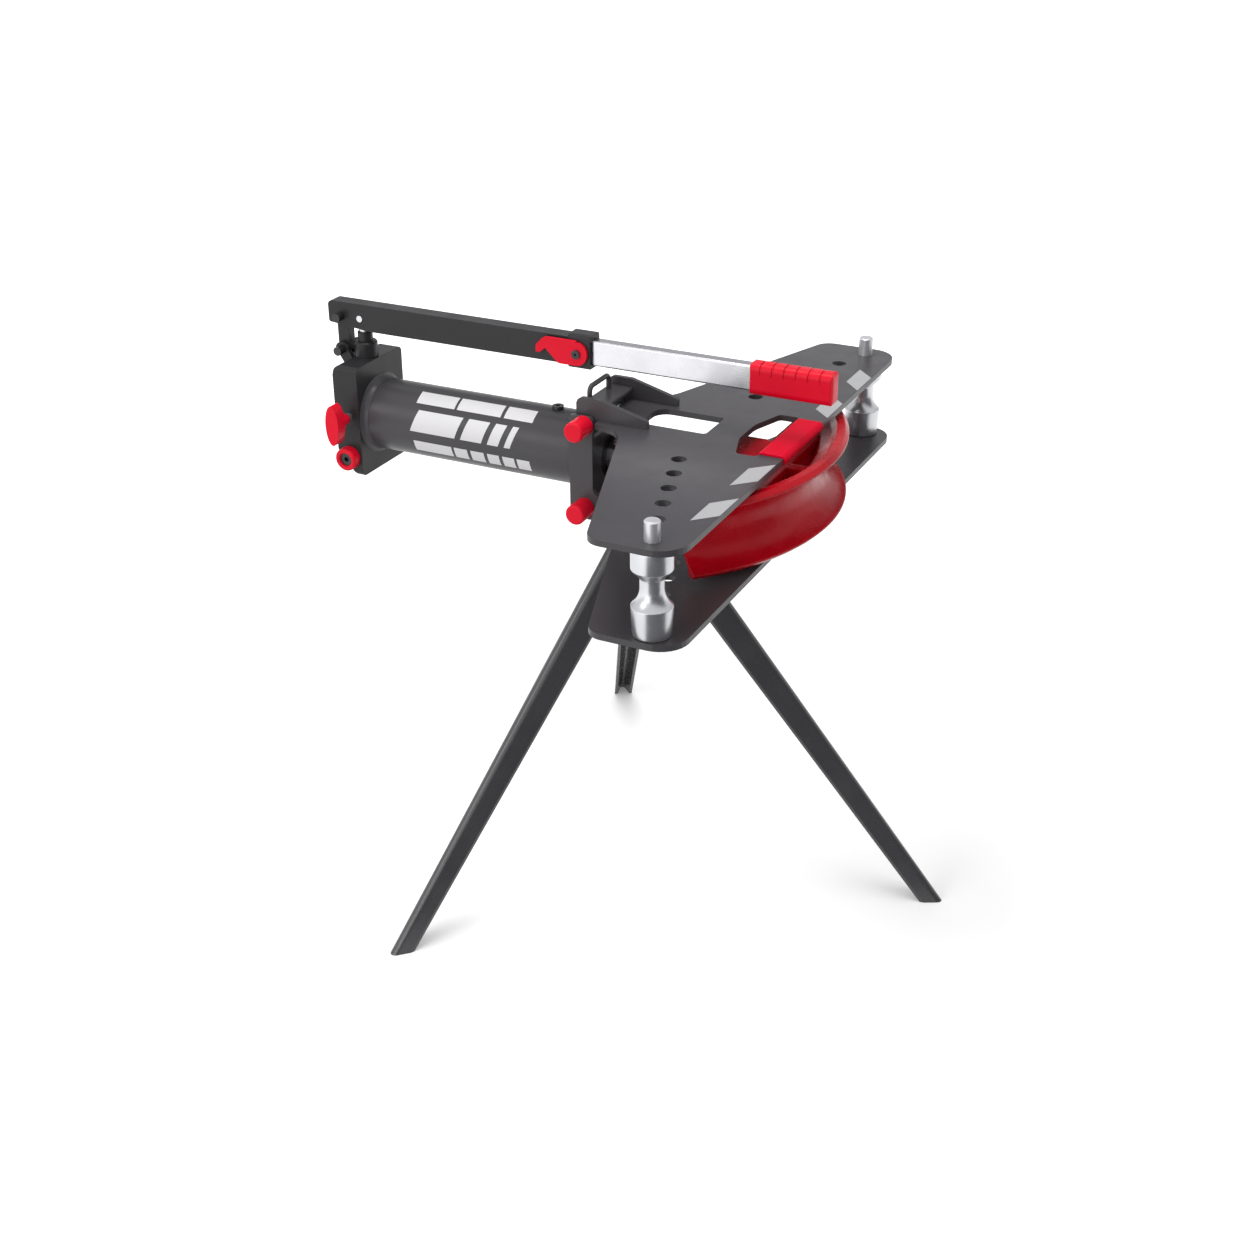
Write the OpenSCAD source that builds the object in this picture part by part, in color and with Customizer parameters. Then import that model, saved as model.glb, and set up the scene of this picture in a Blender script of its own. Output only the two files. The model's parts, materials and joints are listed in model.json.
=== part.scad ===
// Hydraulic pipe bender: hand pump, ram cylinder, plate frame, rollers, former and tripod.
// Lengths are in millimetres. +X is the way the ram pushes, +Z is up and the floor is z = 0.
// Every piece is drawn about the ram axis, with x = 0 on the line of the rollers.

/* [Stance] */
// Height of the ram axis above the floor
ram_h = 452; // [440:1:500]
// Reach of each leg on the floor, from the hub centre
leg_reach = 328; // [300:1:350]
// Angle between the front leg and each rear leg
leg_turn = 117; // [105:1:125]
// Turn of the whole tripod away from the ram's upright plane
tripod_turn = 3.5; // [0:0.5:8]
// Sheet thickness of the legs
leg_t = 3; // [2:0.5:4]

/* [Plates] */
// Clear height between the two plates
plate_gap = 84; // [80:1:96]
// Thickness of each plate
plate_t = 6; // [4:0.5:8]
// Width of the plates from tip to tip
plate_w = 580; // [570:1:640]
// Front edge of the plates, ahead of the roller line
plate_front = 32; // [30:1:40]
// Diameter of the pin holes
hole_d = 15; // [12:0.5:18]
// Pin holes on each wing, besides the one that carries the roller
hole_count = 5; // [3:1:5]
// Distance from each plate tip to the roller there
roller_inset = 20; // [16:1:30]

/* [Former] */
// Outside diameter of the pipe that the groove fits
pipe_d = 60.3; // [42:0.1:61]
// Radius of the former's lips
former_r = 240; // [225:1:260]
// Height of the former
former_h = 72; // [68:1:76]
// Half of the angle that the former covers
former_half = 45; // [40:1:48]

/* [Cylinder] */
// Outside diameter of the cylinder tube
tube_d = 76; // [72:1:84]
// Wall of the cylinder tube
tube_wall = 5; // [4:0.5:7]
// Length of the cylinder tube
tube_len = 246; // [246:1:280]
// Diameter of the ram
ram_d = 40; // [34:1:44]
// Length of the head that joins cylinder and plates
head_len = 26; // [26:1:32]

/* [Pump] */
// Thickness of the pump block along the ram
block_t = 30; // [28:1:40]
// Width of the pump block
block_w = 88; // [78:1:96]
// Height of the pump block
block_h = 121; // [116:1:130]
// Diameter of the pump plunger
plunger_d = 12; // [10:1:13]
// Distance from the lever's pivot to the plunger
lever_arm = 24; // [20:0.5:26]

/* [Lever] */
// Height of the lever channel
lever_h = 28.5; // [26:0.5:34]
// Width of the lever channel
lever_w = 17; // [16:0.5:22]
// Sheet thickness of the lever channel
lever_t = 1.5; // [1:0.25:3]
// Length of the bare steel bar between collar and grip
bar_show = 169.5; // [140:0.5:200]
// Length of the grip
grip_len = 85; // [70:1:100]

/* [Hidden] */
$fn = 48;
hull_fn = 32;
arc_steps = 8;

// Clearances: a sliding piece, a pin in its hole, and the overrun of a cut
slide_gap = 0.3;
pin_gap = 0.05;
cut = 2;

// Colours
grey_paint = "#55535a";
dark_paint = "#3a3a3d";
red_plastic = "#d4122e";
red_cast = "#a30d1c";
bright_steel = "#c9cbd0";
black_steel = "#26262a";

// Plate outline
tip_front_r = 28;
tip_rear_x = -54;
tip_rear_r = 18;
neck_x = -140;
neck_half = 46;
neck_r = 40;
plate_rear_x = -170;
plate_rear_r = 1;
plate_lo = plate_gap / 2;
plate_hi = plate_lo + plate_t;

// Pin holes lie on a slanted line from the inner one to the roller
hole_first_x = -56;
hole_first_y = 94;
roller_y = plate_w / 2 - roller_inset;
hole_step_x = 10.3;
hole_step_share = 0.191;
hole_step_y = (roller_y - hole_first_y) * hole_step_share;

// Window and hand-hole of the upper plate
window_rear_x = -132;
window_front_x = -60;
window_half = 24;
window_rear_r = 15;
window_front_r = 4;
hand_front_x = 7;
hand_half = 57;
hand_side_x = -14;
hand_back_x = -26;
hand_back_half = 20;
hand_front_r = 5;
hand_side_r = 5;
hand_back_r = 40;

// Sleeve of the plate's hand grip
sleeve_wall = 1.8;
sleeve_half = 51;
sleeve_end_r = 4.4;

// Head between cylinder and plates
head_rear_x = -199;
head_front_x = head_rear_x + head_len;
head_flange_t = 6;
head_block_half_z = 30.5;
cheek_t = 5;
cheek_in = 40;
cheek_out = cheek_in + cheek_t;
cheek_top = 53;
cheek_low = 57;
cheek_foot_z = -25;
cheek_foot = 15;
cheek_foot_x = head_front_x + cheek_foot;
cheek_r = 4;
lock_x = -182;
lock_z = 44;
lock_r = 6;
lock_tail = 5;
lock_head_r = 10.5;
lock_head_len = 24;
lock_head_round = 2.5;
lock_head_bore = 14;

// Gussets, bridge and loop handle on the upper plate
gusset_in = 33;
gusset_t = 5;
gusset_out = gusset_in + gusset_t;
gusset_ear_r = 13;
gusset_front_x = -116;
gusset_front_h = 8;
gusset_top = 70;
gusset_slope_x = -168;
gusset_rear_x = -194;
gusset_round = 7;
gusset_front_r = 3;
bridge_rear_x = -192;
bridge_front_x = -166;
bridge_top = 61;
bridge_t = 4;
loop_x = -187.5;
loop_half = 21;
loop_top = 75.5;
loop_rod_r = 2.6;
loop_bend_r = 6;

// Rollers and their pins
roller_r = 19;
roller_neck_r = 11;
roller_h = plate_gap - 2 * slide_gap;
roller_foot_r = 17.6;
groove_top = 22;
groove_neck_top = 13.5;
groove_neck_low = 3;
groove_low = -13.5;
groove_round = 7;
roller_brim = 2;
roller_edge = 1.2;
roller_pin_r = hole_d / 2 - pin_gap;
roller_pin_top = 67;
roller_pin_low = 5;

// Former: the seat for the ram, the web and the ribs
former_nose_x = 65;
former_centre_x = former_nose_x - former_r;
groove_ease = 0.4;
groove_r = pipe_d / 2 + groove_ease;
groove_out = 2;
groove_turn = 2;
land_w = 12;
rim_shoulder_w = 17;
rim_root_w = 30;
rim_foot_w = 36;
rim_shoulder_z = 28;
rim_root_z = 18;
rim_foot_z = 6;
web_half_t = 8;
lip_round = 4;
hub_back_x = -52;
hub_front_x = -10;
hub_half = 32;
hub_half_h = 30;
hub_round = 8;
beam_rear_x = -22;
beam_front_x = 18;
beam_half_h = 20;
rib_half_t = 6;
slab_sink = 26;
spigot_r = 14;
spigot_len = 26;

// Cylinder
tube_r = tube_d / 2;
tube_in_r = tube_r - tube_wall;
tube_front_x = head_rear_x - head_flange_t;
tube_rear_x = tube_front_x - tube_len;
root_ring_t = 7;
root_ring_w = 5.5;
ram_r = ram_d / 2;
ram_forward = 85;
piston_len = 26;
piston_room = 1;
piston_front_x = tube_front_x - ram_forward - piston_room;
seal_w = 7;
seal_depth = 4;
seal_inset = 9;
wiper_r = 26;
wiper_len = 6;
filler_x = -235;
filler_r = 6;
filler_h = 3.5;
filler_shank_r = 4.5;
filler_socket_r = 2.8;
filler_socket_d = 2.2;

// Pump block
block_front_x = tube_rear_x;
block_rear_x = block_front_x - block_t;
block_top = 61.5;
block_low = block_top - block_h;
block_round = 6;
block_top_cut_x = 2.5;
block_top_cut_z = 10;
block_low_cut_x = 22;
block_low_cut_z = 27;

// Pump barrel, gland and plunger
pump_inset = 15;
pump_x = block_front_x - pump_inset;
barrel_r = 12.5;
barrel_h = 17;
barrel_edge = 1.5;
gland_r = 8;
gland_h = 10.5;
gland_edge = 1;
plunger_rest = 3;
plunger_low = block_top + plunger_rest;
eye_half = 5;
eye_r = 8;
eye_pin_r = 3.5;
eye_slot = 1.2;
eye_room = 0.6;

// Lever and link
lever_low = 91.3;
lever_top = lever_low + lever_h;
lever_half = lever_w / 2;
lever_in = lever_half - lever_t;
lever_tail = 15;
lever_tail_low = 96.5;
lever_tail_x = 50;
lever_tail_r = 5;
lever_pivot_z = 104;
link_x = pump_x - lever_arm;
link_low_z = 68;
link_half_t = 5;
link_eye_r = 8.5;
link_waist = 14;
link_pin_r = 4;
link_head_r = 4.8;
link_head_t = 9;
ear_gap = 0.4;
ear_t = 5;
ear_r = 8;
ear_foot_x = 17;
ear_foot_z = 18;
lever_rear_x = link_x - lever_tail;

// Collar, latch, bar and grip
collar_front_x = -192;
collar_len = 24.5;
collar_rear_x = collar_front_x - collar_len;
collar_wall = 1.8;
collar_cap = 3.5;
collar_face = 5;
collar_half = lever_half + slide_gap + collar_wall;
collar_low = lever_low - slide_gap - collar_wall;
collar_top = lever_top + slide_gap + collar_cap;
collar_round = 4;
collar_edge = 1;
lever_front_x = collar_front_x - collar_face - slide_gap;
bar_side_gap = 0.5;
bar_under = 1.2;
bar_w = lever_w - 2 * (lever_t + bar_side_gap);
bar_h = lever_h - lever_t - bar_under;
bar_z = lever_top - lever_t - slide_gap - bar_h / 2;
bar_wall = 1.5;
bar_round = 2;
bar_in_collar = 59;
bar_in_grip = 78;
bar_rear_x = collar_front_x - bar_in_collar;
grip_rear_x = collar_front_x + bar_show;
bar_front_x = grip_rear_x + bar_in_grip;
grip_w = 20;
grip_h = 32;
grip_round = 7;
grip_end_r = 5;
grip_notches = 6;
grip_notch_d = 0.9;
grip_notch_w = 2;
grip_notch_share = 1 / (grip_notches + 1);
grip_notch_low = 5;
latch_t = 3;
latch_in = collar_half + slide_gap;
latch_out = latch_in + latch_t;
latch_x = -206;
latch_z = 104.4;
latch_eye_r = 12;
latch_screw_r = 3;
latch_head_r = 4.6;
latch_head_t = 1.6;
latch_len = 45.8;
latch_top = 13.5;
latch_low = 3.5;
latch_tip = 9;
latch_throat = 35;
latch_throat_z = 1.7;
latch_hump_x = 11.5;
latch_hump = 12.1;
latch_edge_r = 1;

// Release valve and side valve on the pump block
release_inset = 13;
release_x = block_front_x - release_inset;
release_z = 7;
release_knob_half_h = 22;
release_knob_half_w = 8;
release_knob_t = 13;
release_stem_r = 4.5;
release_stem_len = 6;
release_neck_r = 5.5;
release_neck_wide = 7.5;
release_neck_len = 13;
release_seat = 14;
knob_points = 36;
valve_inset = 15;
valve_x = block_front_x - valve_inset;
valve_z = -39;
valve_r = 12.5;
valve_len = 11;
valve_bore_r = 7;
valve_screw_r = 5.5;
valve_screw_len = 8;
valve_hex_r = 2.9;
valve_hex_d = 4;
valve_round = 2.5;
hex_sides = 6;

// Legs and hub
hub_x = -137;
hub_r = 36;
hub_t = 8;
leg_pivot_r = 24;
leg_pivot_drop = 80;
leg_ear = 5;
leg_top_w = 36;
leg_top_out = 15;
leg_top_in = 10;
leg_top_ridge = 9;
leg_foot_w = 21;
leg_foot_out = 9.5;
leg_foot_in = 6.5;
leg_foot_ridge = 6;
leg_over = 14;
leg_slice_t = 0.01;
tab_half_t = 4;
tab_r = 8;
tab_out = 2;
leg_bolt_r = 4;
leg_bolt_half = leg_top_w / 2;
leg_bolt_head_r = 6.5;
leg_bolt_head_t = 5;
leg_drop = ram_h - leg_pivot_drop;
leg_splay = atan((leg_reach - leg_pivot_r) / leg_drop);
leg_end = leg_drop / cos(leg_splay) + leg_over;
leg_floor = leg_reach + leg_over;
leg_turns = [tripod_turn, tripod_turn + leg_turn, tripod_turn - leg_turn];

// Corners of a leg's section, in the leg's own frame
function leg_corners(w, inside, outside, ridge) = concat(
    [[-inside, -w / 2], [leg_t - inside, -w / 2], [-inside, w / 2], [leg_t - inside, w / 2]],
    [for (i = [0 : hull_fn - 1]) let (at = 360 * i / hull_fn)
        [outside - ridge + ridge * cos(at), ridge * sin(at)]]);
leg_top_corners = leg_corners(leg_top_w, leg_top_in, leg_top_out, leg_top_ridge);
leg_foot_corners = leg_corners(leg_foot_w, leg_foot_in, leg_foot_out, leg_foot_ridge);

// The same corners where each edge of the leg meets the floor
function turned(p, by) = [p.x * cos(by) - p.y * sin(by), p.x * sin(by) + p.y * cos(by)];
leg_floor_corners = [for (i = [0 : len(leg_top_corners) - 1])
    let (taper = (leg_foot_corners[i] - leg_top_corners[i]) / (leg_end + leg_ear))
    let (at = leg_top_corners[i] + taper * leg_ear)
    let (run = (leg_drop + at.x * sin(leg_splay)) / (cos(leg_splay) - taper.x * sin(leg_splay)))
    let (end = at + taper * run)
    [leg_pivot_r + end.x * cos(leg_splay) + run * sin(leg_splay), end.y]];
floor_corners = [for (by = leg_turns, p = leg_floor_corners) [hub_x, 0] + turned(p, by)];
floor_x = [for (p = floor_corners) p.x];
floor_y = [for (p = floor_corners) p.y];

// The origin lies on the floor, below the middle of the whole part
origin_x = -(lever_rear_x + max(floor_x)) / 2;
origin_y = -(min(min(floor_y), -plate_w / 2) + max(max(floor_y), plate_w / 2)) / 2;

// Shared helpers

function unit(v) = v / norm(v);
function flat(p) = [p.x, p.y];

// Points of an arc of radius r that rounds the corner b between a and c
function corner_arc(a, b, c, r) =
    let (u = unit(a - b), v = unit(c - b), half = acos(u * v) / 2)
    let (centre = b + unit(u + v) * r / sin(half), reach = r / tan(half))
    let (p = b + u * reach - centre, q = b + v * reach - centre)
    let (start = atan2(p.y, p.x), turn = atan2(p.x * q.y - p.y * q.x, p * q))
    r == 0 ? [b] : [for (i = [0 : arc_steps])
        let (at = start + turn * i / arc_steps) centre + r * [cos(at), sin(at)]];

// Outline through corners given as [x, y, radius]
function rounded(corners) =
    let (n = len(corners))
    [for (i = [0 : n - 1])
        each corner_arc(flat(corners[(i + n - 1) % n]), flat(corners[i]),
                        flat(corners[(i + 1) % n]), corners[i].z)];

// Corners on the +Y side, followed by their mirror images
function both_sides(corners) =
    concat(corners, [for (i = [len(corners) - 1 : -1 : 0])
        [corners[i].x, -corners[i].y, corners[i].z]]);

module placed() {
    translate([origin_x, origin_y, ram_h]) children();
}

// A flat piece with its outline in XZ, from y = near to y = near + t
module side_plate(near, t) {
    translate([0, near + t, 0]) rotate([90, 0, 0]) linear_extrude(t) children();
}

module mirrored_y() {
    children();
    mirror([0, 1, 0]) children();
}

// A cylinder along X, or along Y, from a start coordinate
module rod_x(start, len, r) {
    translate([start, 0, 0]) rotate([0, 90, 0]) cylinder(h = len, r = r);
}

module rod_y(x, z, start, len, r) {
    translate([x, start, z]) rotate([-90, 0, 0]) cylinder(h = len, r = r);
}

// Upright rounded rectangle in YZ, drawn along X
module bar_x(start, len, w, h, r) {
    translate([start, 0, 0]) rotate([90, 0, 90]) linear_extrude(len) polygon(rounded(both_sides([
        [w / 2, h / 2, r],
        [-w / 2, h / 2, r]])));
}

// Frame plates

plate_half_outline = [
    [plate_front, plate_w / 2, tip_front_r],
    [tip_rear_x, plate_w / 2, tip_rear_r],
    [neck_x, neck_half, neck_r],
    [plate_rear_x, neck_half, plate_rear_r]];

module plate_blank() {
    linear_extrude(plate_t) polygon(rounded(both_sides(plate_half_outline)));
}

module pin_holes() {
    mirrored_y() {
        for (i = [0 : hole_count - 1])
            translate([hole_first_x + i * hole_step_x, hole_first_y + i * hole_step_y, -cut])
                cylinder(h = plate_t + 2 * cut, d = hole_d);
        translate([0, roller_y, -cut]) cylinder(h = plate_t + 2 * cut, d = hole_d);
    }
}

module window() {
    translate([0, 0, -cut]) linear_extrude(plate_t + 2 * cut) polygon(rounded(both_sides([
        [window_front_x, window_half, window_front_r],
        [window_rear_x, window_half, window_rear_r]])));
}

module hand_hole() {
    translate([0, 0, -cut]) linear_extrude(plate_t + 2 * cut) polygon(rounded(both_sides([
        [hand_front_x, hand_half, hand_front_r],
        [hand_side_x, hand_half, hand_side_r],
        [hand_back_x, hand_back_half, hand_back_r]])));
}

module upper_plate() {
    color(grey_paint) placed() translate([0, 0, plate_lo]) difference() {
        plate_blank();
        pin_holes();
        window();
        hand_hole();
    }
}

// Ear of the lower plate, welded to its neck, with the lock pin's hole
module lower_ear() {
    side_plate(gusset_in, gusset_t) union() {
        translate([lock_x, -lock_z]) circle(r = gusset_ear_r);
        translate([lock_x, -plate_hi]) square([plate_rear_x - lock_x + gusset_t, plate_t]);
    }
}

module lower_plate() {
    color(grey_paint) placed() difference() {
        union() {
            translate([0, 0, -plate_hi]) plate_blank();
            mirrored_y() lower_ear();
        }
        translate([0, 0, -plate_hi]) pin_holes();
        rod_y(lock_x, -lock_z, -gusset_out - cut, 2 * (gusset_out + cut), lock_r + pin_gap);
    }
}

// Gusset: a sloping rib on the plate that runs down round the lock pin
module gusset() {
    difference() {
        side_plate(gusset_in, gusset_t) union() {
            polygon(rounded([
                [gusset_front_x, plate_hi, 0],
                [gusset_front_x, plate_hi + gusset_front_h, gusset_front_r],
                [gusset_slope_x, gusset_top, gusset_ear_r],
                [gusset_rear_x, gusset_top, gusset_round],
                [gusset_rear_x, plate_hi, 0]]));
            translate([lock_x, lock_z]) circle(r = gusset_ear_r);
        }
        rod_y(lock_x, lock_z, gusset_in - cut, gusset_t + 2 * cut, lock_r + pin_gap);
    }
}

module gussets() {
    color(grey_paint) placed() difference() {
        mirrored_y() gusset();
        translate([plate_rear_x - slide_gap, -gusset_out - cut, plate_hi - plate_gap])
            cube([plate_front - plate_rear_x, 2 * (gusset_out + cut), plate_gap]);
    }
}

module bridge_plate() {
    color(grey_paint) placed()
        side_plate(-gusset_in, 2 * gusset_in) polygon(rounded([
            [bridge_rear_x, bridge_top, 0],
            [bridge_rear_x, bridge_top - bridge_t, 0],
            [bridge_front_x, bridge_top - bridge_t, 0],
            [bridge_front_x, bridge_top, bridge_t / 2]]));
}

module loop_bend() {
    translate([0, loop_half - loop_bend_r, loop_top - loop_bend_r]) rotate([90, 0, 90])
        rotate_extrude(angle = 90) translate([loop_bend_r, 0]) circle(r = loop_rod_r);
}

module loop_handle() {
    color(grey_paint) placed() translate([loop_x, 0, 0]) union() {
        mirrored_y() {
            translate([0, loop_half, bridge_top])
                cylinder(h = loop_top - loop_bend_r - bridge_top, r = loop_rod_r);
            loop_bend();
        }
        rod_y(0, loop_top, -loop_half + loop_bend_r, 2 * (loop_half - loop_bend_r), loop_rod_r);
    }
}

// Plastic sleeve over the strip in front of the hand-hole
module plate_grip() {
    color(red_plastic) placed() difference() {
        side_plate(-sleeve_half, 2 * sleeve_half) polygon(rounded([
            [hand_front_x - sleeve_wall, plate_lo - sleeve_wall, sleeve_end_r],
            [plate_front + sleeve_wall, plate_lo - sleeve_wall, sleeve_end_r],
            [plate_front + sleeve_wall, plate_hi + sleeve_wall, sleeve_end_r],
            [hand_front_x - sleeve_wall, plate_hi + sleeve_wall, sleeve_end_r]]));
        translate([hand_front_x - pin_gap, -sleeve_half - cut, plate_lo - pin_gap])
            cube([plate_front - hand_front_x + 2 * pin_gap, 2 * (sleeve_half + cut),
                  plate_t + 2 * pin_gap]);
    }
}

// Head and lock pins

module cheek() {
    side_plate(cheek_in, cheek_t) polygon(rounded([
        [head_rear_x, cheek_top, cheek_r],
        [head_rear_x, -cheek_low, cheek_r],
        [head_front_x, -cheek_low, cheek_r],
        [head_front_x, -plate_lo + slide_gap, 0],
        [cheek_foot_x, -plate_lo + slide_gap, 0],
        [head_front_x, cheek_foot_z, cheek_r],
        [head_front_x, cheek_top, cheek_r]]));
}

module head_bracket() {
    color(grey_paint) placed() difference() {
        union() {
            rod_x(tube_front_x, head_flange_t, tube_r);
            translate([head_rear_x, -cheek_in, -head_block_half_z])
                cube([head_len, 2 * cheek_in, 2 * head_block_half_z]);
            mirrored_y() cheek();
        }
        rod_x(tube_front_x - cut, head_len + head_flange_t + 2 * cut, ram_r + pin_gap);
        rod_x(head_front_x - wiper_len, wiper_len + cut, wiper_r);
        for (side = [-1, 1])
            rod_y(lock_x, side * lock_z, -cheek_out - cut, 2 * (cheek_out + cut), lock_r + pin_gap);
    }
}

module rod_wiper() {
    color(black_steel) placed() difference() {
        rod_x(head_front_x - wiper_len, wiper_len, wiper_r - pin_gap);
        rod_x(head_front_x - wiper_len - cut, wiper_len + 2 * cut, ram_r + pin_gap);
    }
}

module lock_pin(z) {
    color(bright_steel) placed()
        rod_y(lock_x, z, -cheek_out - lock_head_bore, 2 * cheek_out + lock_head_bore + lock_tail, lock_r);
}

// Turned knob on the pin's end, with a rounded rim
module lock_knob(z) {
    face = cheek_out + slide_gap;
    color(red_plastic) placed() translate([lock_x, -face, z]) rotate([90, 0, 0]) difference() {
        rotate_extrude() polygon(rounded([
            [0, 0, 0],
            [lock_head_r, 0, 0],
            [lock_head_r, lock_head_len, lock_head_round],
            [0, lock_head_len, 0]]));
        translate([0, 0, -cut]) cylinder(h = lock_head_bore - slide_gap + cut, r = lock_r + pin_gap);
    }
}

module lock_pin_upper() {
    lock_pin(lock_z);
}

module lock_knob_upper() {
    lock_knob(lock_z);
}

module lock_pin_lower() {
    lock_pin(-lock_z);
}

module lock_knob_lower() {
    lock_knob(-lock_z);
}

// Rollers

module roller(side) {
    color(bright_steel) placed() translate([0, side * roller_y, 0]) difference() {
        rotate_extrude() polygon(rounded([
            [0, -roller_h / 2, 0],
            [roller_foot_r, -roller_h / 2, roller_edge],
            [roller_r, groove_low, roller_edge],
            [roller_neck_r, groove_neck_low, groove_round],
            [roller_neck_r, groove_neck_top, groove_round],
            [roller_r, groove_top, roller_brim],
            [roller_r, roller_h / 2, roller_edge],
            [0, roller_h / 2, 0]]));
        translate([0, 0, -roller_h / 2 - cut])
            cylinder(h = roller_h + 2 * cut, r = roller_pin_r + pin_gap);
    }
}

module roller_left() {
    roller(1);
}

module roller_right() {
    roller(-1);
}

module roller_pin(side) {
    low = -plate_hi - roller_pin_low;
    color(bright_steel) placed() translate([0, side * roller_y, 0]) rotate_extrude() polygon([
        [0, low],
        [roller_pin_r - roller_edge, low],
        [roller_pin_r, low + roller_edge],
        [roller_pin_r, roller_pin_top - roller_edge],
        [roller_pin_r - roller_edge, roller_pin_top],
        [0, roller_pin_top]]);
}

module roller_pin_left() {
    roller_pin(1);
}

module roller_pin_right() {
    roller_pin(-1);
}

// Former: a grooved rim on a ribbed web, pushed at its hub by the ram

module former_sweep(turn) {
    translate([former_centre_x, 0, 0]) rotate([0, 0, -turn])
        rotate_extrude(angle = 2 * turn, $fn = 4 * $fn) children();
}

rim_half_outline = [
    [former_r, former_h / 2 - lip_round],
    [former_r - lip_round, former_h / 2],
    [former_r - land_w, former_h / 2],
    [former_r - rim_shoulder_w, rim_shoulder_z],
    [former_r - rim_root_w, rim_root_z],
    [former_r - rim_foot_w, rim_foot_z]];

module former_rim() {
    n = len(rim_half_outline);
    former_sweep(former_half) polygon(concat(rim_half_outline,
        [for (i = [n - 1 : -1 : 0]) [rim_half_outline[i].x, -rim_half_outline[i].y]]));
}

// A slab inside the rim, from x = rear to x = front, with a height of 2 * half_h
module former_slab(rear, front, half_y, half_h) {
    translate([0, 0, -half_h]) linear_extrude(2 * half_h) intersection() {
        translate([former_centre_x, 0]) circle(r = former_r - slab_sink, $fn = 4 * $fn);
        translate([rear, -half_y]) square([front - rear, 2 * half_y]);
    }
}

module former() {
    color(red_cast) placed() difference() {
        union() {
            former_rim();
            former_slab(beam_rear_x, former_nose_x, former_r, web_half_t);
            former_slab(beam_rear_x, beam_front_x, former_r, beam_half_h);
            former_slab(beam_rear_x, former_nose_x, rib_half_t, beam_half_h);
            translate([0, 0, -hub_half_h]) linear_extrude(2 * hub_half_h) polygon(rounded(both_sides([
                [hub_front_x, hub_half, hub_round],
                [hub_back_x, hub_half, hub_round]])));
        }
        former_sweep(former_half + groove_turn) translate([former_r + groove_out, 0]) circle(r = groove_r);
        rod_x(hub_back_x - cut, spigot_len + slide_gap + cut, spigot_r + pin_gap);
    }
}

// Cylinder and ram

module ram() {
    color(bright_steel) placed() union() {
        rod_x(piston_front_x, hub_back_x - piston_front_x, ram_r);
        rod_x(hub_back_x, spigot_len, spigot_r);
    }
}

module piston() {
    color(bright_steel) placed() difference() {
        rod_x(piston_front_x - piston_len, piston_len, tube_in_r - pin_gap);
        translate([piston_front_x - seal_inset - seal_w, 0, 0]) rotate([0, 90, 0]) difference() {
            cylinder(h = seal_w, r = tube_in_r + cut);
            cylinder(h = seal_w, r = tube_in_r - seal_depth);
        }
    }
}

module piston_seal() {
    color(black_steel) placed() translate([piston_front_x - seal_inset - seal_w, 0, 0])
        rotate([0, 90, 0]) translate([0, 0, pin_gap]) difference() {
            cylinder(h = seal_w - 2 * pin_gap, r = tube_in_r - pin_gap);
            translate([0, 0, -cut]) cylinder(h = seal_w + 2 * cut, r = tube_in_r - seal_depth + pin_gap);
        }
}

module cylinder_tube() {
    color(grey_paint) placed() difference() {
        rod_x(tube_rear_x, tube_len, tube_r);
        rod_x(tube_rear_x - cut, tube_len + 2 * cut, tube_in_r);
        translate([filler_x, 0, tube_in_r - cut])
            cylinder(h = tube_wall + 2 * cut, r = filler_shank_r + pin_gap);
    }
}

// Weld fillet between the tube and the pump block
module root_ring() {
    hollow = [for (i = [0 : arc_steps]) let (at = 90 * i / arc_steps)
        [tube_r + root_ring_w * (1 - sin(at)) + 2 * pin_gap, root_ring_t * (1 - cos(at))]];
    color(grey_paint) placed() translate([tube_rear_x, 0, 0]) rotate([0, 90, 0]) rotate_extrude()
        polygon(concat([[tube_r + pin_gap, root_ring_t], [tube_r + pin_gap, 0]], hollow));
}

module filler_plug() {
    color(black_steel) placed() translate([filler_x, 0, 0]) difference() {
        union() {
            translate([0, 0, tube_in_r]) cylinder(h = tube_wall + slide_gap, r = filler_shank_r);
            translate([0, 0, tube_r + slide_gap]) cylinder(h = filler_h, r = filler_r);
        }
        translate([0, 0, tube_r + slide_gap + filler_h - filler_socket_d])
            cylinder(h = filler_socket_d + cut, r = filler_socket_r, $fn = hex_sides);
    }
}

// Pump end

module block_side_outline() {
    polygon(rounded([
        [block_front_x, block_low, 0],
        [block_front_x, block_top, 0],
        [block_rear_x + block_top_cut_x, block_top, block_round],
        [block_rear_x, block_top - block_top_cut_z, block_round],
        [block_rear_x, block_low + block_low_cut_z, block_round],
        [block_rear_x + block_low_cut_x, block_low, block_round]]));
}

module block_end_outline() {
    polygon(rounded(both_sides([
        [block_top, block_w / 2, block_round],
        [block_low, block_w / 2, block_round]])));
}

// Ear that carries the lower end of the link
module pump_ear() {
    side_plate(link_half_t + ear_gap, ear_t) union() {
        translate([link_x, link_low_z]) circle(r = ear_r);
        polygon([
            [link_x - ear_r, link_low_z],
            [link_x + ear_r, link_low_z],
            [link_x + ear_foot_x, link_low_z - ear_foot_z],
            [link_x + ear_r / 2, link_low_z - ear_foot_z]]);
    }
}

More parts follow.
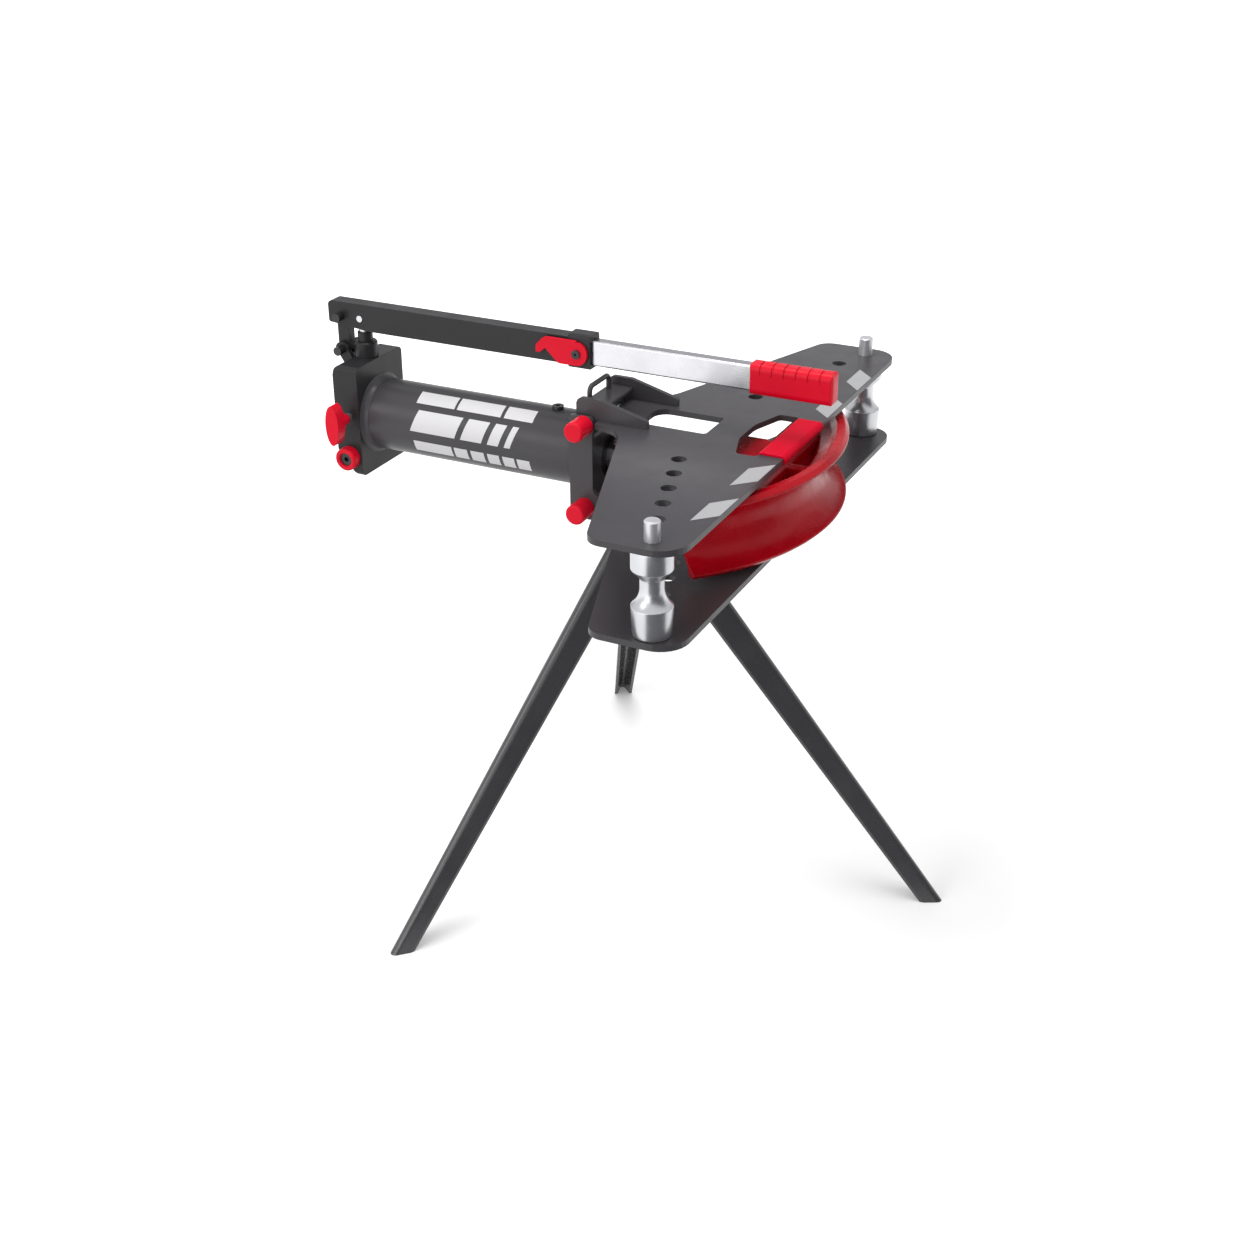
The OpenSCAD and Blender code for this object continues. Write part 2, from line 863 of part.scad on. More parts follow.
module pump_block() {
    color(dark_paint) placed() difference() {
        union() {
            intersection() {
                side_plate(-block_w / 2, block_w) block_side_outline();
                translate([block_rear_x - cut, 0, 0]) rotate([0, -90, 0]) mirror([0, 0, 1])
                    linear_extrude(block_t + 2 * cut) block_end_outline();
            }
            mirrored_y() pump_ear();
        }
        rod_y(link_x, link_low_z, -block_w, 2 * block_w, link_pin_r + pin_gap);
        rod_y(release_x, release_z, -block_w / 2 - cut, release_seat + cut, release_stem_r + pin_gap);
        rod_y(valve_x, valve_z, -block_w / 2 - cut, release_seat + cut, valve_screw_r + pin_gap);
    }
}

module pump_barrel() {
    color(dark_paint) placed() translate([pump_x, 0, block_top]) difference() {
        rotate_extrude() polygon([
            [0, 0],
            [barrel_r, 0],
            [barrel_r, barrel_h - barrel_edge],
            [barrel_r - barrel_edge, barrel_h],
            [0, barrel_h]]);
        translate([0, 0, -cut]) cylinder(h = barrel_h + 2 * cut, r = plunger_d / 2 + pin_gap);
    }
}

module pump_gland() {
    color(dark_paint) placed() translate([pump_x, 0, block_top + barrel_h]) difference() {
        rotate_extrude() polygon([
            [0, 0],
            [gland_r, 0],
            [gland_r, gland_h - gland_edge],
            [gland_r - gland_edge, gland_h],
            [0, gland_h]]);
        translate([0, 0, -cut]) cylinder(h = gland_h + 2 * cut, r = plunger_d / 2 + pin_gap);
    }
}

// Plunger with a flat eye whose slot takes up the arc of the lever
module pump_plunger() {
    slot_r = eye_pin_r + eye_room;
    color(bright_steel) placed() translate([pump_x, 0, 0]) difference() {
        union() {
            translate([0, 0, plunger_low]) cylinder(h = lever_pivot_z - plunger_low, r = plunger_d / 2);
            rod_y(0, lever_pivot_z, -eye_half, 2 * eye_half, eye_r);
        }
        for (side = [-1, 1])
            translate([0, side * (eye_half + plunger_d / 2), lever_pivot_z])
                cube([2 * plunger_d, plunger_d, 2 * eye_r], center = true);
        for (side = [-1, 1]) rod_y(side * eye_slot, lever_pivot_z, -plunger_d, 2 * plunger_d, slot_r);
        translate([0, 0, lever_pivot_z]) cube([2 * eye_slot, 2 * plunger_d, 2 * slot_r], center = true);
    }
}

module plunger_pin() {
    color(bright_steel) placed()
        rod_y(pump_x, lever_pivot_z, -lever_half - lever_t / 2, 2 * lever_half + lever_t, eye_pin_r);
}

module lever_link() {
    color(dark_paint) placed() difference() {
        side_plate(-link_half_t, 2 * link_half_t) union() {
            translate([link_x, lever_pivot_z]) circle(r = link_eye_r);
            translate([link_x, link_low_z]) circle(r = link_eye_r);
            translate([link_x - link_waist / 2, link_low_z])
                square([link_waist, lever_pivot_z - link_low_z]);
        }
        for (z = [link_low_z, lever_pivot_z])
            rod_y(link_x, z, -link_half_t - cut, 2 * (link_half_t + cut), link_pin_r + pin_gap);
    }
}

// Headed pins through the two ends of the link
module link_pin(z, half) {
    rod_y(link_x, z, -half, 2 * half, link_pin_r);
    for (side = [-1, 1])
        rod_y(link_x, z, side * (half + link_head_t / 2) - link_head_t / 2, link_head_t, link_head_r);
}

module link_pins() {
    color(black_steel) placed() {
        link_pin(link_low_z, link_half_t + ear_gap + ear_t + slide_gap);
        link_pin(lever_pivot_z, lever_half + slide_gap);
    }
}

// Lever, collar, latch, bar and grip

module lever_outline() {
    polygon(rounded([
        [lever_front_x, lever_low, 0],
        [lever_front_x, lever_top, 0],
        [lever_rear_x, lever_top, lever_tail_r],
        [lever_rear_x, lever_tail_low, lever_tail_r / 2],
        [lever_rear_x + lever_tail_x, lever_low, lever_tail_x]]));
}

module pump_lever() {
    color(dark_paint) placed() difference() {
        side_plate(-lever_half, lever_w) lever_outline();
        translate([lever_rear_x - cut, -lever_in, lever_low - cut])
            cube([lever_front_x - lever_rear_x + 2 * cut, 2 * lever_in, lever_h - lever_t + cut]);
        rod_y(link_x, lever_pivot_z, -lever_w, 2 * lever_w, link_pin_r + pin_gap);
        rod_y(pump_x, lever_pivot_z, -lever_w, 2 * lever_w, eye_pin_r + pin_gap);
    }
}

module lever_collar() {
    color(dark_paint) placed() difference() {
        translate([collar_rear_x, 0, 0]) rotate([90, 0, 90]) linear_extrude(collar_len) polygon(rounded([
            [-collar_half, collar_low, collar_edge],
            [collar_half, collar_low, collar_edge],
            [collar_half, collar_top, collar_round],
            [-collar_half, collar_top, collar_round]]));
        translate([collar_rear_x - cut, -lever_half - slide_gap, lever_low - slide_gap])
            cube([collar_len - collar_face + cut, lever_w + 2 * slide_gap, lever_h + 2 * slide_gap]);
        translate([0, 0, bar_z]) bar_x(collar_rear_x, collar_len + cut, bar_w + 2 * slide_gap,
                                       bar_h + 2 * slide_gap, bar_round + slide_gap);
        rod_y(latch_x, latch_z, -collar_half - cut, 2 * (collar_half + cut), latch_screw_r + pin_gap);
    }
}

// Hooked latch: an eye on the screw, an arm to the rear and a tip that turns down
module latch_outline() {
    union() {
        circle(r = latch_eye_r);
        polygon(rounded([
            [0, latch_top, 0],
            [-latch_len + latch_tip, latch_top, latch_tip],
            [-latch_len, latch_low, latch_tip / 2],
            [-latch_len, -latch_low, latch_edge_r],
            [-latch_len + latch_tip / 2, -latch_low, latch_edge_r],
            [-latch_throat, latch_throat_z, latch_edge_r],
            [-latch_hump_x - latch_tip, -latch_hump, latch_tip / 2],
            [-latch_hump_x, -latch_hump, latch_tip / 2],
            [0, -latch_eye_r, 0]]));
    }
}

module latch_plate() {
    difference() {
        translate([latch_x, 0, latch_z]) side_plate(latch_in, latch_t) latch_outline();
        rod_y(latch_x, latch_z, latch_in - cut, latch_t + 2 * cut, latch_screw_r + pin_gap);
    }
}

module latch_plates() {
    color(red_plastic) placed() mirrored_y() latch_plate();
}

module latch_screw() {
    inner = lever_half + slide_gap;
    difference() {
        union() {
            rod_y(latch_x, latch_z, inner, latch_out + slide_gap - inner, latch_screw_r);
            rod_y(latch_x, latch_z, latch_out + slide_gap, latch_head_t, latch_head_r);
        }
        translate([latch_x, latch_out, latch_z]) rotate([-90, 0, 0])
            cylinder(h = latch_head_t + cut, r = latch_screw_r / 2, $fn = hex_sides);
    }
}

module latch_screws() {
    color(black_steel) placed() mirrored_y() latch_screw();
}

module extension_bar() {
    color(bright_steel) placed() translate([0, 0, bar_z]) difference() {
        bar_x(bar_rear_x, bar_front_x - bar_rear_x, bar_w, bar_h, bar_round);
        bar_x(bar_rear_x - cut, bar_front_x - bar_rear_x - bar_wall + cut,
              bar_w - 2 * bar_wall, bar_h - 2 * bar_wall, bar_round - bar_wall);
    }
}

// Grip blank: a bar whose ends are rounded over on all four sides
module grip_blank() {
    intersection() {
        bar_x(grip_rear_x - cut, grip_len + 2 * cut, grip_w, grip_h, grip_round);
        translate([grip_rear_x, 0, -grip_h]) linear_extrude(2 * grip_h) polygon(rounded(both_sides([
            [grip_len, grip_w / 2 + cut, grip_end_r + cut],
            [0, grip_w / 2 + cut, grip_end_r + cut]])));
        translate([grip_rear_x, 0, 0]) side_plate(-grip_w, 2 * grip_w) polygon(rounded(both_sides([
            [grip_len, grip_h / 2 + cut, grip_end_r + cut],
            [0, grip_h / 2 + cut, grip_end_r + cut]])));
    }
}

// Shallow notch over the grip's upper edges
module grip_notch(x) {
    difference() {
        translate([x, -grip_w, grip_notch_low]) cube([grip_notch_w, 2 * grip_w, grip_h]);
        bar_x(x - cut, grip_notch_w + 2 * cut, grip_w - 2 * grip_notch_d,
              grip_h - 2 * grip_notch_d, grip_round);
    }
}

module handle_grip() {
    color(red_plastic) placed() translate([0, 0, bar_z]) difference() {
        grip_blank();
        for (i = [1 : grip_notches])
            grip_notch(grip_rear_x + grip_len * grip_notch_share * i - grip_notch_w / 2);
        bar_x(grip_rear_x - cut, bar_in_grip + slide_gap + cut,
              bar_w + 2 * pin_gap, bar_h + 2 * pin_gap, bar_round + pin_gap);
    }
}

// Valves on the side of the pump block

module release_stem() {
    face = block_w / 2;
    color(bright_steel) placed()
        rod_y(release_x, release_z, -face - release_stem_len, release_stem_len + release_seat - slide_gap,
              release_stem_r);
}

module release_knob() {
    face = block_w / 2 + release_stem_len;
    wing = [for (i = [0 : knob_points - 1]) let (at = 360 * i / knob_points)
        [release_knob_half_w * cos(at), release_knob_half_h * sin(at)]];
    color(red_plastic) placed() translate([release_x, -face, release_z]) rotate([90, 0, 0]) union() {
        cylinder(h = release_neck_len, r1 = release_neck_r, r2 = release_neck_wide);
        translate([0, 0, release_neck_len]) linear_extrude(release_knob_t) polygon(wing);
    }
}

module valve_ring() {
    face = block_w / 2;
    color(red_plastic) placed() translate([valve_x, -face, valve_z]) rotate([90, 0, 0]) rotate_extrude()
        polygon(rounded([
            [valve_bore_r, 0, 0],
            [valve_r, 0, 0],
            [valve_r, valve_len, valve_round],
            [valve_bore_r, valve_len, valve_round]]));
}

module valve_screw() {
    face = block_w / 2;
    color(black_steel) placed() translate([valve_x, -face, valve_z]) rotate([90, 0, 0]) difference() {
        union() {
            translate([0, 0, -release_seat + slide_gap])
                cylinder(h = release_seat - slide_gap, r = valve_screw_r);
            cylinder(h = valve_screw_len, r = valve_bore_r - pin_gap);
        }
        translate([0, 0, valve_screw_len - valve_hex_d])
            cylinder(h = valve_hex_d + cut, r = valve_hex_r, $fn = hex_sides);
    }
}

// Tripod

// Places a leg's own frame, with its pivot at the origin and +X pointing outward
module at_leg(turn) {
    translate([hub_x, 0, -leg_pivot_drop]) rotate([0, 0, turn]) translate([leg_pivot_r, 0, 0]) children();
}

module leg_tab() {
    height = leg_pivot_drop - plate_hi - hub_t / 2;
    difference() {
        union() {
            rod_y(0, 0, -tab_half_t, 2 * tab_half_t, tab_r);
            translate([-tab_r, -tab_half_t, 0]) cube([tab_r + tab_out, 2 * tab_half_t, height]);
        }
        rod_y(0, 0, -tab_half_t - cut, 2 * (tab_half_t + cut), leg_bolt_r + pin_gap);
    }
}

module leg_hub() {
    color(dark_paint) placed() union() {
        translate([hub_x, 0, -plate_hi - hub_t]) cylinder(h = hub_t, r = hub_r);
        for (turn = leg_turns) at_leg(turn) leg_tab();
    }
}

module leg_bolts() {
    color(black_steel) placed() for (turn = leg_turns) at_leg(turn) {
        rod_y(0, 0, -leg_bolt_half, 2 * leg_bolt_half, leg_bolt_r);
        for (side = [-1, 1])
            rod_y(0, 0, side * (leg_bolt_half + leg_bolt_head_t / 2) - leg_bolt_head_t / 2,
                  leg_bolt_head_t, leg_bolt_head_r);
    }
}

// Section of a leg: two flanges that meet in a round ridge on the outside
module leg_slice(run, w, inside, outside, ridge) {
    translate([0, 0, -run]) linear_extrude(leg_slice_t) union() {
        translate([-inside, -w / 2]) square([leg_t, w]);
        translate([outside - ridge, 0]) circle(r = ridge, $fn = hull_fn);
    }
}

module leg_body(thin, deep) {
    hull() {
        leg_slice(-leg_ear - deep, leg_top_w - 2 * thin, leg_top_in + deep,
                  leg_top_out - thin, leg_top_ridge - thin);
        leg_slice(leg_end + deep, leg_foot_w - 2 * thin, leg_foot_in + deep,
                  leg_foot_out - thin, leg_foot_ridge - thin);
    }
}

module leg(turn) {
    color(dark_paint) placed() difference() {
        at_leg(turn) rotate([0, -leg_splay, 0]) difference() {
            leg_body(0, 0);
            leg_body(leg_t, 2 * cut);
            rod_y(0, 0, -leg_top_w, 2 * leg_top_w, leg_bolt_r + pin_gap);
        }
        translate([hub_x, 0, -ram_h - leg_floor]) cylinder(h = leg_floor, r = 2 * leg_floor);
    }
}

module leg_front() {
    leg(tripod_turn);
}

module leg_left() {
    leg(tripod_turn + leg_turn);
}

module leg_right() {
    leg(tripod_turn - leg_turn);
}

upper_plate();
lower_plate();
gussets();
bridge_plate();
loop_handle();
plate_grip();
head_bracket();
rod_wiper();
lock_pin_upper();
lock_knob_upper();
lock_pin_lower();
lock_knob_lower();
roller_left();
roller_right();
roller_pin_left();
roller_pin_right();
former();
ram();
piston();
piston_seal();
cylinder_tube();
root_ring();
filler_plug();
pump_block();
pump_barrel();
pump_gland();
pump_plunger();
plunger_pin();
lever_link();
link_pins();
pump_lever();
lever_collar();
latch_plates();
latch_screws();
extension_bar();
handle_grip();
release_stem();
release_knob();
valve_ring();
valve_screw();
leg_hub();
leg_bolts();
leg_front();
leg_left();
leg_right();
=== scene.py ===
"""Looks of the hydraulic pipe bender: finishes, plain panels, turned rollers, stage, light and camera."""

import json
import math

import bpy
from mathutils import Matrix, Vector


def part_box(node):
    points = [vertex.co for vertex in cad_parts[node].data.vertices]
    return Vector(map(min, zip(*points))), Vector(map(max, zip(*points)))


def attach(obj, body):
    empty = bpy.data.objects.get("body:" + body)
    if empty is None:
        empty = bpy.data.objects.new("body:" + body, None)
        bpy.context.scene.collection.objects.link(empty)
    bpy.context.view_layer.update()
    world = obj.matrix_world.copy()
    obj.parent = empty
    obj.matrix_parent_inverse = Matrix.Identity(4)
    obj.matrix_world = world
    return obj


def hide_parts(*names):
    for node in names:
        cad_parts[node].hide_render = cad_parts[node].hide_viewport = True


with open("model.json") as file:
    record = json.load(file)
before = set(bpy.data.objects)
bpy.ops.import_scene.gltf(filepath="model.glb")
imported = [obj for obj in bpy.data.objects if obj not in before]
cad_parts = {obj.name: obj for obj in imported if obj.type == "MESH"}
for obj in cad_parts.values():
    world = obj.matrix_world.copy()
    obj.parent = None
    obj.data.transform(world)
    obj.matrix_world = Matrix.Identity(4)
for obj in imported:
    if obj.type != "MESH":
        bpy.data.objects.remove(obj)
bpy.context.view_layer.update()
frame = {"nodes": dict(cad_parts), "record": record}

MM = 0.001


def middle(node, axis):
    """The middle of a CAD node's box along one axis."""
    low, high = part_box(node)
    return (low[axis] + high[axis]) / 2


# Reference places, read from the frame
ROLLER_X = middle("roller_left", 0)
RAM_Y = middle("ram", 1)
RAM_Z = middle("ram", 2)
PLATE_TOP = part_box("upper_plate")[1][2]
PLATE_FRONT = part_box("upper_plate")[1][0]
TUBE_R = (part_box("cylinder_tube")[1][1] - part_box("cylinder_tube")[0][1]) / 2


# Material building blocks

# The part of a noise that is spread over a span
NOISE_LOW, NOISE_HIGH = 0.3, 0.7
# How well the softened normal agrees with the true one off an edge and on it
EDGE_OFF, EDGE_ON = 0.99, 0.8
# Scales of the noises for colour, gloss and lighter edges, which are partly worn paint and partly painted
# highlight, and how much of an edge is lightened at most
COLOUR_SCALE, GLOSS_SCALE, WEAR_AND_HIGHLIGHT_SCALE, MOST_WEAR_AND_HIGHLIGHT = 14.0, 45.0, 160.0, 0.75
COLOUR_DETAIL, GRAIN_DETAIL = 4.0, 2.0
BEVEL_SAMPLES = 4
# Sockets of a Mix node that blends colours
MIX_FACTOR, MIX_FIRST, MIX_SECOND, MIX_RESULT = 0, 6, 7, 2
MATT = {"Roughness": 0.9, "Specular_IOR_Level": 0.0}


def set_values(node, **values):
    """Sets a node's inputs by name."""
    for name, value in values.items():
        node.inputs[name.replace("_", " ")].default_value = value


def add(tree, kind, **values):
    """A new node with the given input values."""
    node = tree.nodes.new(kind)
    set_values(node, **values)
    return node


def combine(tree, operation, first, second):
    """The result of a calculation on two inputs, each a socket or a number."""
    node = tree.nodes.new("ShaderNodeMath")
    node.operation = operation
    for socket, value in ((node.inputs[0], first), (node.inputs[1], second)):
        if isinstance(value, bpy.types.NodeSocket):
            tree.links.new(value, socket)
        else:
            socket.default_value = value
    return node.outputs["Value"]


def new_material(name, **values):
    """A new material, its node tree, and its shader with the given values set."""
    material = bpy.data.materials.new(name)
    material.use_nodes = True
    shader = material.node_tree.nodes["Principled BSDF"]
    set_values(shader, **values)
    return material, material.node_tree, shader


def noise(tree, scale, detail=3.0, stretch=(1, 1, 1)):
    """Noise in the object's own coordinates, stretched along its axes."""
    place = add(tree, "ShaderNodeTexCoord")
    mapping = add(tree, "ShaderNodeMapping", Scale=stretch)
    texture = add(tree, "ShaderNodeTexNoise", Scale=scale, Detail=detail)
    tree.links.new(place.outputs["Object"], mapping.inputs["Vector"])
    tree.links.new(mapping.outputs["Vector"], texture.inputs["Vector"])
    return texture.outputs["Fac"]


def spread(tree, source, low, high):
    """Maps the useful part of a noise to the span from low to high."""
    node = add(tree, "ShaderNodeMapRange", From_Min=NOISE_LOW, From_Max=NOISE_HIGH, To_Min=low, To_Max=high)
    tree.links.new(source, node.inputs["Value"])
    return node.outputs["Result"]


def blend_colours(tree, factor, first, second):
    """A colour between first and second; either may be a socket."""
    node = tree.nodes.new("ShaderNodeMix")
    node.data_type = "RGBA"
    tree.links.new(factor, node.inputs[MIX_FACTOR])
    for socket, colour in ((node.inputs[MIX_FIRST], first), (node.inputs[MIX_SECOND], second)):
        if isinstance(colour, bpy.types.NodeSocket):
            tree.links.new(colour, socket)
        else:
            socket.default_value = (*colour, 1)
    return node.outputs[MIX_RESULT]


def scaled(colour, factor):
    """A colour made darker or lighter."""
    return tuple(channel * factor for channel in colour)


def edge_mask(tree, bevel, breakup):
    """1 along sharp edges, broken up by noise, and 0 elsewhere."""
    geometry = tree.nodes.new("ShaderNodeNewGeometry")
    dot = tree.nodes.new("ShaderNodeVectorMath")
    dot.operation = "DOT_PRODUCT"
    tree.links.new(bevel.outputs["Normal"], dot.inputs[0])
    tree.links.new(geometry.outputs["Normal"], dot.inputs[1])
    sharp = add(tree, "ShaderNodeMapRange", From_Min=EDGE_OFF, From_Max=EDGE_ON, To_Min=0.0, To_Max=1.0)
    tree.links.new(dot.outputs["Value"], sharp.inputs["Value"])
    return combine(tree, "MULTIPLY", sharp.outputs["Result"], breakup)


def finish_of(name, colour, rough, metallic=0.0, mottle=0.12, rough_swing=0.08, grain=900.0, grain_depth=0.02,
              stretch=(1, 1, 1), edge=0.5, wear_and_highlight=None, specular=0.5):
    """A finish with uneven colour and gloss, a fine grain, softened edges and, if asked for, lighter edges
    that are partly worn paint and partly painted highlight.

    The grain's depth and the edge's radius are in millimetres.
    """
    material, tree, shader = new_material(name, Metallic=metallic, Specular_IOR_Level=specular)
    cloud = spread(tree, noise(tree, COLOUR_SCALE, COLOUR_DETAIL), 0.0, 1.0)
    base = blend_colours(tree, cloud, scaled(colour, 1 - mottle), scaled(colour, 1 + mottle))
    bevel = add(tree, "ShaderNodeBevel", Radius=edge * MM)
    bevel.samples = BEVEL_SAMPLES
    # Lighter sharp edges, partly worn paint and partly painted highlight.
    if wear_and_highlight:
        mask = edge_mask(tree, bevel, spread(tree, noise(tree, WEAR_AND_HIGHLIGHT_SCALE), 0.0, MOST_WEAR_AND_HIGHLIGHT))
        base = blend_colours(tree, mask, base, wear_and_highlight)
    tree.links.new(base, shader.inputs["Base Color"])
    gloss = spread(tree, noise(tree, GLOSS_SCALE), rough - rough_swing, rough + rough_swing)
    tree.links.new(gloss, shader.inputs["Roughness"])
    bump = add(tree, "ShaderNodeBump", Strength=1.0, Distance=grain_depth * MM)
    tree.links.new(noise(tree, grain, GRAIN_DETAIL, stretch), bump.inputs["Height"])
    tree.links.new(bevel.outputs["Normal"], bump.inputs["Normal"])
    tree.links.new(bump.outputs["Normal"], shader.inputs["Normal"])
    return material


# Finishes

GREY = (0.060, 0.057, 0.062)
DARK = (0.026, 0.0255, 0.0275)
RED = (0.760, 0.003, 0.024)
CAST_RED = (0.450, 0.002, 0.010)
STEEL = (0.560, 0.565, 0.585)
BLACK = (0.030, 0.030, 0.032)
LEG_GREY = (0.047, 0.045, 0.049)
SLEEVE_RED = (0.640, 0.002, 0.024)
PIN_STEEL = (0.660, 0.665, 0.685)
BAR_STEEL = (0.520, 0.520, 0.540)
RAM_STEEL = (0.620, 0.630, 0.650)
RUBBER = (0.010, 0.010, 0.010)
WHITE_PRINT = (0.720, 0.710, 0.730)
GREY_PRINT = (0.420, 0.425, 0.435)

# The edge colours below are partly worn paint and partly painted highlight.
grey_paint = finish_of("grey_paint", GREY, 0.34, mottle=0.05, rough_swing=0.04, grain_depth=0.008, edge=0.6,
                       wear_and_highlight=(0.10, 0.10, 0.105), specular=0.25)
leg_paint = finish_of("leg_paint", LEG_GREY, 0.26, mottle=0.08, rough_swing=0.05, grain_depth=0.004, edge=0.6,
                      wear_and_highlight=(0.12, 0.12, 0.125), specular=0.7)
dark_paint = finish_of("dark_paint", DARK, 0.36, mottle=0.06, rough_swing=0.05, grain_depth=0.010, edge=0.8,
                       wear_and_highlight=(0.06, 0.06, 0.065), specular=0.2)
red_plastic = finish_of("red_plastic", RED, 0.38, mottle=0.06, grain=1500, grain_depth=0.010, edge=0.9,
                        specular=0.18)
sleeve_red = finish_of("sleeve_red", SLEEVE_RED, 0.50, mottle=0.06, grain=1500, grain_depth=0.010, edge=0.9,
                       specular=0.03)
red_cast = finish_of("red_cast", CAST_RED, 0.27, mottle=0.10, grain=160, grain_depth=0.08, edge=2.2,
                     wear_and_highlight=(0.46, 0.03, 0.035), specular=0.15)
turned_steel = finish_of("turned_steel", STEEL, 0.31, metallic=0.88, mottle=0.05, rough_swing=0.05, grain=60,
                         grain_depth=0.01, stretch=(1, 1, 40), edge=0.5)
pin_steel = finish_of("pin_steel", PIN_STEEL, 0.40, metallic=0.72, mottle=0.05, rough_swing=0.05,
                      grain=60, grain_depth=0.01, stretch=(1, 1, 40), edge=0.5)
drawn_steel = finish_of("drawn_steel", BAR_STEEL, 0.26, metallic=1.0, mottle=0.04, rough_swing=0.06,
                        grain=60, grain_depth=0.008, stretch=(0.6, 30, 30), edge=0.4)
polished_steel = finish_of("polished_steel", RAM_STEEL, 0.14, metallic=1.0, mottle=0.03,
                           rough_swing=0.03, grain=60, grain_depth=0.004, stretch=(40, 1, 1), edge=0.4)
black_steel = finish_of("black_steel", BLACK, 0.34, metallic=0.3, edge=0.4, wear_and_highlight=(0.10, 0.10, 0.10),
                        specular=0.4)
seal_rubber = finish_of("seal_rubber", RUBBER, 0.60, grain=1200, edge=0.3)
white_print = finish_of("white_print", WHITE_PRINT, 0.45, mottle=0.03, grain_depth=0.01, edge=0.1,
                        specular=0.2)
grey_print = finish_of("grey_print", GREY_PRINT, 0.45, mottle=0.04, grain_depth=0.01, edge=0.1,
                       specular=0.2)

FINISHES = {
    "grey_paint": grey_paint,
    "dark_paint": dark_paint,
    "red_plastic": red_plastic,
    "red_cast": red_cast,
    "bright_steel": turned_steel,
    "ram_steel": polished_steel,
    "black_steel": black_steel,
    "seal_rubber": seal_rubber,
}

LEGS = ("leg_front", "leg_left", "leg_right")
# Nodes that differ from the rest of their slot
OWN_FINISHES = {
    "extension_bar": drawn_steel,
    "plate_grip": sleeve_red,
    "roller_pin_left": pin_steel,
    "roller_pin_right": pin_steel,
    **{leg: leg_paint for leg in LEGS},
}

for part in frame["record"]["subparts"]:
    node = frame["nodes"][part["node"]]
    node.data.materials.clear()
    node.data.materials.append(OWN_FINISHES.get(part["node"], FINISHES[part["material_slot"]]))


# Plain printed panels


def mesh_piece(name, points, faces, material, body):
    """A mesh from points and faces that rides on a CAD body."""
    mesh = bpy.data.meshes.new(name)
    mesh.from_pydata(points, [], faces)
    mesh.materials.append(material)
    piece = bpy.data.objects.new(name, mesh)
    bpy.context.collection.objects.link(piece)
    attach(piece, body)
    return piece


PRINT_LIFT = 0.15 * MM
# A plate panel runs from this far in front of the roller line to this far from the plate's front edge
PANEL_REAR_X = ROLLER_X + 12 * MM
PANEL_FRONT_X = PLATE_FRONT - 0.5 * MM
# How far out a plate panel's two ends are at its rear and at its front, in millimetres
OUTER_PANEL = ((219, 177), (199, 156))
INNER_PANEL = ((132, 87), (112, 68))


def plate_panel(name, sign, ends):
    """A slanted panel on one wing of the upper plate."""
    rear, front = ends
    corners = [
        (PANEL_REAR_X, rear[0]), (PANEL_FRONT_X, front[0]),
        (PANEL_FRONT_X, front[1]), (PANEL_REAR_X, rear[1])]
    points = [(x, RAM_Y + sign * out * MM, PLATE_TOP + PRINT_LIFT) for x, out in corners]
    mesh_piece(name, points, [(0, 1, 2, 3)], grey_print, "frame")


for sign, side in ((-1, "right"), (1, "left")):
    plate_panel(f"outer_panel_{side}", sign, OUTER_PANEL)
    plate_panel(f"inner_panel_{side}", sign, INNER_PANEL)

# Rows of panels on the tube: the angles above -Y in degrees, the slant, and each panel's start and end
# from the roller line, in millimetres
TUBE_ROWS = {
    "top_panel": (48, 72, 0, ((-390, -344), (-341, -289), (-285, -251.5))),
    "stripe": (2, 37, 8, ((-392, -338), (-331, -306), (-299, -286), (-279, -272))),
    "low_panel": (-35, -14, 0, (
        (-389, -343), (-340, -324), (-320, -304), (-300, -286), (-282, -268), (-265, -250))),
}


def tube_panel(name, start, end, low, high, slant, steps=10):
    """A panel wrapped on the tube, from start to end, between two angles above -Y."""
    radius = TUBE_R + PRINT_LIFT
    points, faces = [], []
    for i in range(steps + 1):
        share = i / steps
        angle = math.radians(low + (high - low) * share)
        y, z = RAM_Y - radius * math.cos(angle), RAM_Z + radius * math.sin(angle)
        shift = slant * share
        points += [(ROLLER_X + (start + shift) * MM, y, z), (ROLLER_X + (end + shift) * MM, y, z)]
    for i in range(steps):
        a = 2 * i
        faces.append((a, a + 1, a + 3, a + 2))
    mesh_piece(name, points, faces, white_print, "frame")


for row, (low, high, slant, spans) in TUBE_ROWS.items():
    for i, (start, end) in enumerate(spans):
        tube_panel(f"{row}_{i + 1}", start, end, low, high, slant)


# Turned rollers with a flared groove

TURN_STEPS = 96
SHARP_ANGLE = math.radians(25)
# The profile in millimetres: steps in from the rim, heights from the roller's middle, roundings, and the
# gap round the pin
FOOT_IN, NECK_IN = 1.4, 8
BELLY_Z, NECK_LOW_Z, NECK_HIGH_Z, COLLAR_Z = -13.5, -6.3, 13.5, 22
EDGE_ROUND, BELLY_ROUND, FLARE_ROUND, NECK_ROUND, COLLAR_ROUND = 1.2, 0.8, 22, 5, 2
BORE_GAP = 0.05


def rounded_path(corners, steps=8):
    """A path whose corners (radius, height, rounding) are replaced by arcs."""
    path = []
    for i, (u, v, rounding) in enumerate(corners):
        corner = Vector((u, v))
        if not rounding:
            path.append(corner)
            continue
        before = (Vector(corners[i - 1][:2]) - corner).normalized()
        after = (Vector(corners[(i + 1) % len(corners)][:2]) - corner).normalized()
        half = before.angle(after) / 2
        centre = corner + (before + after).normalized() * rounding / math.sin(half)
        first = corner + before * rounding / math.tan(half) - centre
        last = corner + after * rounding / math.tan(half) - centre
        turn = math.atan2(first.x * last.y - first.y * last.x, first.dot(last))
        path += [centre + Matrix.Rotation(turn * k / steps, 2) @ first for k in range(steps + 1)]
    return path


